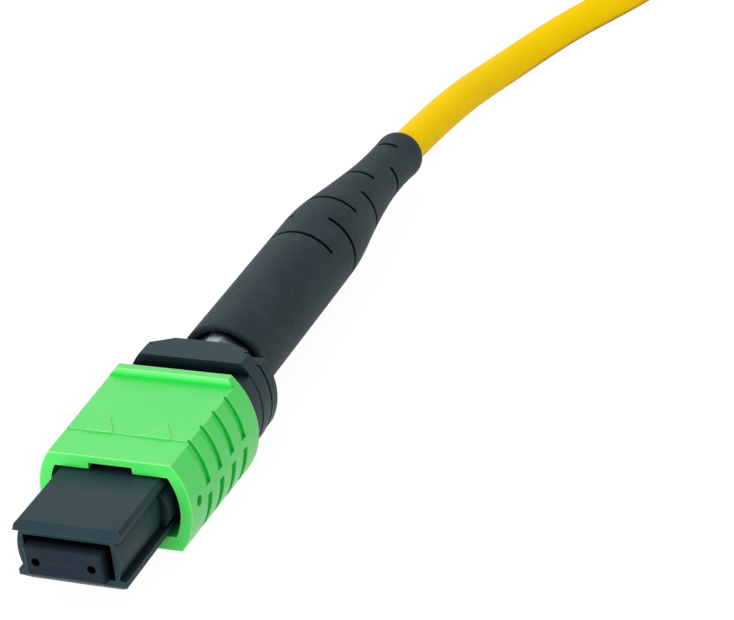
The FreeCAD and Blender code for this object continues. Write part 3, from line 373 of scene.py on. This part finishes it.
# Painted shade: where the resin sees little sky it is painted near black.
resin.vary(
    base_color=resin.blend(resin.openness(reach_mm=1.4), rgb(3, 6, 8), resin_tone),
    roughness=moulded_side * 0.2 + 0.3,
    normal=resin.bump(speckle, depth_mm=0.003, normal=resin.soft_edges(radius_mm=0.08)))
resin.plain(specular_ior_level=0.1)
dress(resin, "mt_ferrule")

# %% [markdown]
# ## Strain relief
#
# The strain relief is a soft rubbery moulding. Its mould is spark-eroded, which leaves an
# even, fine, matt grain that hides finger marks. Two sizes of noise make it: the grain
# itself, whose tips are lightened as a painted highlight, and a slower one that lets the
# black drift. Hollows take painted shade.

# %% Fine matt grain
relief = Finish("relief_rubber")
relief_place = relief.millimetres()
relief_grain = relief.noise(relief_place, per_mm=5.0, detail=3.0, roughness=0.65)
patches = relief.noise(relief_place, per_mm=0.25, detail=2.0)
grain_tip_highlight = relief.between(relief_grain, 0.45, 0.75)
relief_tone = relief.blend(relief.between(patches, 0.35, 0.65),
                           rgb(38, 52, 57), rgb(46, 60, 65))
# Painted highlight on the grain's tips.
relief_tone = relief.blend(grain_tip_highlight * 0.25, relief_tone, rgb(68, 82, 88))
# Painted shade: hollows and slits take a near-black colour.
relief.vary(
    base_color=relief.blend(relief.openness(reach_mm=0.9), rgb(3, 8, 10), relief_tone),
    roughness=relief.between(relief_grain, *NOISE_SPAN, 0.66, 0.52),
    normal=relief.bump(relief_grain, depth_mm=0.014, normal=relief.soft_edges(radius_mm=0.12),
                       strength=0.8))
relief.plain(specular_ior_level=0.12)
dress(relief, "strain_relief")

# %% [markdown]
# ## Metal pieces
#
# The crimp ring is plated and has been squeezed by a six-sided die, which leaves fine
# lines along it and a few dull stains. Noise that is stretched along the ring gives the
# lines. The springs are bright drawn wire, too thin for more than a fine clouding.

# %% Crimp ring and springs
crimp = Finish("crimp_metal")
crimp_place = crimp.millimetres()
stretched = crimp.add("ShaderNodeMapping", {},
                      {"Vector": crimp_place, "Scale": (1.0, 0.06, 1.0)})
lines = crimp.noise(stretched, per_mm=14.0, detail=3.0, roughness=0.6)
stain = crimp.noise(crimp_place, per_mm=0.8, detail=3.0)
crimp.vary(
    base_color=crimp.blend(crimp.between(stain, 0.35, 0.7),
                           rgb(120, 128, 136), rgb(152, 160, 168)),
    roughness=crimp.between(lines, *NOISE_SPAN, 0.2, 0.34),
    normal=crimp.bump(lines, depth_mm=0.004, normal=crimp.soft_edges(radius_mm=0.08)))
crimp.plain(metallic=1.0)
dress(crimp, "crimp_ring")

wire = Finish("spring_wire")
drawn = wire.noise(wire.millimetres(), per_mm=6.0, detail=3.0, roughness=0.6)
wire.vary(
    base_color=wire.blend(drawn, rgb(176, 176, 178), rgb(206, 206, 208)),
    roughness=wire.between(drawn, *NOISE_SPAN, 0.18, 0.32))
wire.plain(metallic=1.0)
dress(wire, "ferrule_spring", "return_spring_left", "return_spring_right")

# %% [markdown]
# ## Springs as pieces of their own
#
# A rigid copy of a spring would cut through whatever presses on it. Real coils close up.
# A lattice or a simulation could do that, and for a straight spring it would be enough to
# scale it along its axis from its fixed rear end, by as much as its joint has moved. Here
# each spring is only copied into an object of its own that rides with the plug, unscaled.


# %% Each spring becomes its own piece, riding with the plug
def shorten(node):
    """A spring of the same form as the node, riding with the plug; it is not shortened."""
    spring = bpy.data.objects.new(f"{node}_coils", nodes[node].data.copy())
    spring.matrix_world = nodes[node].matrix_world
    scene.collection.objects.link(spring)
    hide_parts(node)
    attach(spring, "plug")
    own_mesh(spring)


shorten("return_spring_left")
shorten("return_spring_right")
shorten("ferrule_spring")

# %% [markdown]
# ## The pieces inside
#
# What is inside shows only when the plug is turned or opened, but each piece still has its
# own look: a soft black grommet, a grey keeper, straw-coloured strength yarn and twelve
# fibres in the usual order of colours, each with a thin coloured coating that ends where
# the bare glass goes into the ferrule.


# %% Grommet, keeper and yarn
def clouded(name, colour, lighter, roughness, per_mm, depth_mm, bare_before=None):
    """A finish whose tone, gloss and skin follow one noise; bare_before is in mm."""
    finish = Finish(name)
    place = finish.millimetres()
    cloud = finish.noise(place, per_mm, detail=3.0)
    tone = finish.blend(finish.between(cloud, *NOISE_SPAN), colour, lighter)
    if bare_before:
        coating_gloss, coating_edge, bare_glass = 0.4, 0.1, rgb(38, 50, 58)
        behind = finish.add("ShaderNodeSeparateXYZ", {}, {"Vector": place}, output=1)
        coated = finish.between(behind, bare_before, bare_before + coating_edge)
        tone = finish.blend(coated, bare_glass, tone)
        finish.vary(coat_weight=coated * coating_gloss)
        finish.plain(specular_ior_level=0.1)
    finish.vary(
        base_color=tone,
        roughness=finish.between(cloud, *NOISE_SPAN, roughness, roughness + 0.1),
        normal=finish.bump(cloud, depth_mm))
    return finish


dress(clouded("grommet_rubber", rgb(26, 27, 28), rgb(38, 39, 40),
              roughness=0.6, per_mm=5.0, depth_mm=0.01), "ferrule_grommet")
dress(clouded("keeper_plastic", rgb(178, 178, 172), rgb(196, 196, 190),
              roughness=0.45, per_mm=3.0, depth_mm=0.005), "pin_keeper")

yarn = Finish("strength_yarn")
strands = yarn.add("ShaderNodeMapping", {},
                   {"Vector": yarn.millimetres(), "Scale": (1.0, 0.05, 1.0)})
strand = yarn.noise(strands, per_mm=8.0, detail=4.0, roughness=0.7)
yarn.vary(base_color=yarn.blend(strand, rgb(196, 160, 70), rgb(236, 214, 138)),
          normal=yarn.bump(strand, depth_mm=0.04))
yarn.plain(roughness=0.6, sheen_weight=0.3)
dress(yarn, "strength_yarn")

# %% Twelve fibre coatings
COATINGS = {
    "blue": (28, 88, 196), "orange": (240, 130, 30), "green": (30, 160, 70),
    "brown": (120, 72, 40), "slate": (120, 128, 134), "white": (236, 236, 232),
    "red": (206, 32, 36), "black": (28, 28, 28), "yellow": (238, 204, 30),
    "violet": (120, 60, 170), "rose": (236, 140, 160), "aqua": (90, 200, 210),
}
bare_length, paler = 5.6, 18
for colour, shade in COATINGS.items():
    coat = clouded(f"coat_{colour}", rgb(*shade),
                   rgb(*(min(value + paler, 255) for value in shade)),
                   roughness=0.25, per_mm=4.0, depth_mm=0.002, bare_before=bare_length)
    dress(coat, *[name for name in nodes
                  if name.startswith("fibre") and name.endswith(colour)])

# %% [markdown]
# ## Cable jacket
#
# The jacket is extruded round a loose bundle, so its surface is smooth, with a soft gloss
# and hardly any relief. Its yellow drifts slightly along its length, and is painted darker
# amber as painted shade where the cable lies against itself or the table.

# %% Soft yellow jacket
jacket = Finish("cable_jacket")
jacket_place = jacket.millimetres()
wave = jacket.noise(jacket_place, per_mm=0.35, detail=2.0)
skin = jacket.noise(jacket_place, per_mm=4.0, detail=3.0, roughness=0.6)
jacket_tone = jacket.blend(jacket.between(wave, *NOISE_SPAN),
                           rgb(253, 209, 0), rgb(255, 214, 0))
# Painted shade: where the cable lies close to itself or the table, the yellow goes to amber.
jacket.vary(
    base_color=jacket.blend(jacket.openness(reach_mm=1.2), rgb(188, 136, 0), jacket_tone),
    roughness=jacket.between(skin, *NOISE_SPAN, 0.42, 0.52),
    normal=jacket.bump(skin, depth_mm=0.002))
jacket.plain(specular_ior_level=0.02)
dress(jacket, "held_cable", "cable_lead", "cable_hank")

# %% [markdown]
# ## The cable's way
#
# The cable leaves the strain relief with a slight droop, comes down to the table and bends
# away. What is left of it is folded into a flat hank behind: two straight runs joined by
# half turns, three layers high. One smooth NURBS curve does it all, because a real cable
# has no corners. Control points on a half turn of radius r stand at r / cos(15 degrees),
# so that the curve itself runs on the radius.

# %% Points from the strain relief to the hank
cable_radius = 1.7
table = low("cable_hank").z / MM
bed = table + cable_radius
lead_points = [
    (0.401, 72.02, -0.452),
    (0.88, 83.95, -0.99),
    (2.15, 97.4, bed),
    (5.6, 109.4, bed),
    (9.9, 119.2, bed),
    (13.0, 128.2, bed),
]
print("table at", round(table, 3), "mm")

# %% Turns of the hank: loop radius, layer and how far the near loop stands out
hank_middle, near_loop, hank_run, cut_from_loop = 0.1, 140.0, 37.5, 6
inner_loop, outer_loop = 10.2, 13.6
turns = [(outer_loop, 0, 0.6), (inner_loop, 0, 2.6), (inner_loop, 1, 0.0),
         (outer_loop, 1, -2.4), (outer_loop, 2, 0.0), (inner_loop, 2, 0.0)]
far_loop = near_loop + hank_run
half_step = 15                  # degrees; a control point every 30 on a half turn
outward = 1 / math.cos(math.radians(half_step))
inset = math.tan(math.radians(half_step))


def smooth(share):
    """An even start and end for a change that runs from 0 to 1."""
    share = min(max(share, 0), 1)
    return share * share * (3 - 2 * share)


def around(angle, radius, middle_y, height):
    """A control point of a loop, in millimetres."""
    turned = math.radians(angle)
    return (hank_middle + radius * outward * math.cos(turned),
            middle_y + radius * outward * math.sin(turned), height)


def layer_height(layer):
    """Height of the cable's axis in a layer of the hank."""
    return bed + 2 * cable_radius * layer


first_radius = turns[0][0]
hank_points = [(hank_middle + first_radius, near_loop - first_radius * inset, bed)]
for number, (radius, layer, stand_out) in enumerate(turns):
    height = layer_height(layer)
    right_side, left_side = hank_middle + radius, hank_middle - radius
    hank_points.append((right_side, near_loop + radius * inset, height))
    hank_points.append((right_side, far_loop - radius * inset, height))
    hank_points += [around(angle, radius, far_loop, height)
                    for angle in range(half_step, 180, 2 * half_step)]
    hank_points.append((left_side, far_loop - radius * inset, height))
    if number == len(turns) - 1:
        hank_points.append((left_side, near_loop + cut_from_loop, height))
        continue
    hank_points.append((left_side, near_loop + radius * inset - stand_out, height))
    next_radius, next_layer = turns[number + 1][:2]
    for angle in range(180 + half_step, 360, 2 * half_step):
        change = smooth((angle - 180) / 180)
        hank_points.append(around(angle, radius + (next_radius - radius) * change,
                                  near_loop - stand_out,
                                  layer_height(layer + (next_layer - layer) * change)))
print("hank points", len(hank_points))


# %% One curve for the whole cable
def smooth_curve(name, points, radius_mm):
    """A round NURBS cable through control points in millimetres."""
    data = bpy.data.curves.new(name, "CURVE")
    data.dimensions = "3D"
    data.resolution_u = 8
    data.bevel_depth = radius_mm * MM
    data.bevel_resolution = 6
    data.use_fill_caps = True
    spline = data.splines.new("NURBS")
    spline.points.add(len(points) - 1)
    for target, point in zip(spline.points, points):
        target.co = (*(value * MM for value in point), 1)
    spline.order_u = 3
    spline.use_endpoint_u = True
    curve = bpy.data.objects.new(name, data)
    scene.collection.objects.link(curve)
    return curve


cable = smooth_curve("free_cable", lead_points + hank_points, cable_radius)
cable.data.materials.append(jacket.material)
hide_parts("cable_lead", "cable_hank")
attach(cable, "plug")
print("cable length", round(cable.data.splines[0].calc_length(), 4), "m")

# %% [markdown]
# ## Ties and the cut end
#
# Two soft straps hold the hank, one round each side. Each is a strip that follows the
# bundle's outline once round and then overlaps itself on top. The cable is a pigtail: its
# far end is cut square, ready to be spliced, so the cut shows the jacket's wall, the yarn
# inside it and the twelve fibres.


# %% Straps
def add_piece(name, vertices, faces, material):
    """A mesh piece given in millimetres, riding with the plug."""
    mesh = bpy.data.meshes.new(name)
    mesh.from_pydata([tuple(value * MM for value in vertex) for vertex in vertices], [], faces)
    mesh.materials.append(material)
    piece = bpy.data.objects.new(name, mesh)
    scene.collection.objects.link(piece)
    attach(piece, "plug")
    return piece


strap_width, strap_thickness, strap_middle = 7.0, 0.5, near_loop + 20.0
strap_edge, off_table = 0.12, 0.02
top_axis = 4 * cable_radius     # the third layer's axis above the first's
corner_steps, overlap_steps, step_turn = 7, 3, 15


def strap_outline(side):
    """Points across a bundle of runs, once round it and then over its top again."""
    corners = [(inner_loop, top_axis, 180), (outer_loop, top_axis, 90), (outer_loop, 0, 0),
               (inner_loop, 0, -90), (inner_loop, top_axis, 180), (outer_loop, top_axis, 90)]
    lift_after = 3              # the last corner before the strap lies on itself
    path = []
    for number, (across, up, first) in enumerate(corners):
        last = number == len(corners) - 1
        for step in range(overlap_steps if last else corner_steps):
            lift = smooth(number - lift_after + step / corner_steps) * strap_thickness
            reach = cable_radius + strap_thickness / 2 + lift
            angle = math.radians(first - step_turn * step)
            path.append((hank_middle + side * (across + reach * math.cos(angle)),
                         max(bed + up + reach * math.sin(angle),
                             table + strap_thickness / 2 + off_table)))
    return path


strap_rubber = clouded("strap_rubber", rgb(30, 32, 34), rgb(44, 46, 48),
                       roughness=0.55, per_mm=3.0, depth_mm=0.02)
for side, side_name in ((1, "right"), (-1, "left")):
    path = strap_outline(side)
    edges = [strap_middle - strap_width / 2, strap_middle + strap_width / 2]
    vertices = [(across, along, up) for across, up in path for along in edges]
    faces = [(2 * k, 2 * k + 1, 2 * k + 3, 2 * k + 2) for k in range(len(path) - 1)]
    tie = add_piece(f"hank_tie_{side_name}", vertices, faces, strap_rubber.material)
    thick = tie.modifiers.new("thickness", "SOLIDIFY")
    thick.thickness = strap_thickness * MM
    thick.offset = 0
    soft = tie.modifiers.new("soft edge", "BEVEL")
    soft.width = strap_edge * MM
    soft.segments = 2

# %% Cut end
cut_across, cut_along, cut_up = hank_points[-1]
sunk = 0.4                      # how far each rod reaches into the cable
yarn_radius, yarn_out, yarn_sides = 1.28, 0.15, 24
fibre_radius, fibre_out, fibre_stagger, fibre_sides = 0.125, 0.45, 0.05, 12
centre_ring, outer_ring = (0.28, 3), (0.72, 9)      # radius and how many fibres


def rod(name, across, up, radius, outside, count, material):
    """A short rod with count sides that stands out of the cable's cut face."""
    ring = [(across + radius * math.cos(2 * math.pi * k / count),
             up + radius * math.sin(2 * math.pi * k / count)) for k in range(count)]
    vertices = [(x, cut_along + shift, z) for shift in (sunk, -outside) for x, z in ring]
    faces = [tuple(range(count)), tuple(range(2 * count - 1, count - 1, -1))]
    faces += [(k, k + count, (k + 1) % count + count, (k + 1) % count) for k in range(count)]
    return add_piece(name, vertices, faces, material)


cut_pieces = [rod("cut_yarn", cut_across, cut_up, yarn_radius, yarn_out, yarn_sides,
                  yarn.material)]
for number, colour in enumerate(COATINGS):
    in_centre = number < centre_ring[1]
    ring_radius, in_ring = centre_ring if in_centre else outer_ring
    angle = 2 * math.pi * (number if in_centre else number - centre_ring[1]) / in_ring
    cut_pieces.append(rod(f"cut_fibre_{colour}", cut_across + ring_radius * math.cos(angle),
                          cut_up + ring_radius * math.sin(angle), fibre_radius,
                          fibre_out + fibre_stagger * (number % 3), fibre_sides,
                          bpy.data.materials[f"coat_{colour}"]))
print("cut end pieces", len(cut_pieces))

# %% [markdown]
# ## The cable is only a curve
#
# A curve on its own doesn't say how the real cable behaves.

# %% [markdown]
# ## Table and light
#
# A product like this is shown on white, under large soft lights. The table is a plain pale
# sheet. The camera sees it as almost white while it still keeps a soft shadow, so a share
# of what the camera sees comes from a plain glow and the rest from the lit sheet.

# %% Pale table
table_half, table_height = 3.0, table * MM
table_mesh = bpy.data.meshes.new("table")
table_mesh.from_pydata([(x * table_half, y * table_half, table_height)
                        for x, y in ((-1, -1), (1, -1), (1, 1), (-1, 1))],
                       [], [(0, 1, 2, 3)])
table_top = bpy.data.objects.new("table", table_mesh)
scene.collection.objects.link(table_top)

paper = Finish("pale_table")
camera_ray, glossy_ray, clear_ray = (
    paper.add("ShaderNodeLightPath", output=index) for index in (0, 3, 6))
seen = camera_ray + glossy_ray + clear_ray
glow_strength, glow_share = 1.08, 0.88
paper.plain(base_color=(0.75, 0.75, 0.75, 1), roughness=0.9, specular_ior_level=0.0)
glow = paper.add("ShaderNodeEmission", {},
                 {"Color": (1, 1, 1, 1), "Strength": glow_strength})
lit = Flow(paper, paper.shader.outputs[0])
shown = paper.add("ShaderNodeMixShader", {},
                  {0: paper.between(seen, 0, 1, 0, glow_share), 1: lit, 2: glow})
paper.tree.links.new(shown.socket, paper.tree.nodes["Material Output"].inputs["Surface"])
table_mesh.materials.append(paper.material)

# %% Soft light from all round
sky_strength = 0.75
world = bpy.data.worlds.new("studio")
scene.world = world
world.use_nodes = True
sky = world.node_tree.nodes["Background"]
sky.inputs["Color"].default_value = (1, 1, 1, 1)
sky.inputs["Strength"].default_value = sky_strength


def soft_box(name, place, target, size, power):
    """A square area light, placed in millimetres and aimed at a point."""
    data = bpy.data.lights.new(name, "AREA")
    data.shape = "SQUARE"
    data.size = size * MM
    data.energy = power
    light = bpy.data.objects.new(name, data)
    light.location = Vector(place) * MM
    aim = (Vector(target) - Vector(place)).normalized()
    light.rotation_euler = aim.to_track_quat("-Z", "Y").to_euler()
    scene.collection.objects.link(light)


soft_box("over_left", (-160, 40, 340), target=(0, 30, 0), size=260, power=0.14)
soft_box("behind_left", (-150, 260, 200), target=(0, 30, 0), size=260, power=0.16)
soft_box("front_low", (-60, -330, 70), target=(0, 20, 0), size=240, power=1.05)
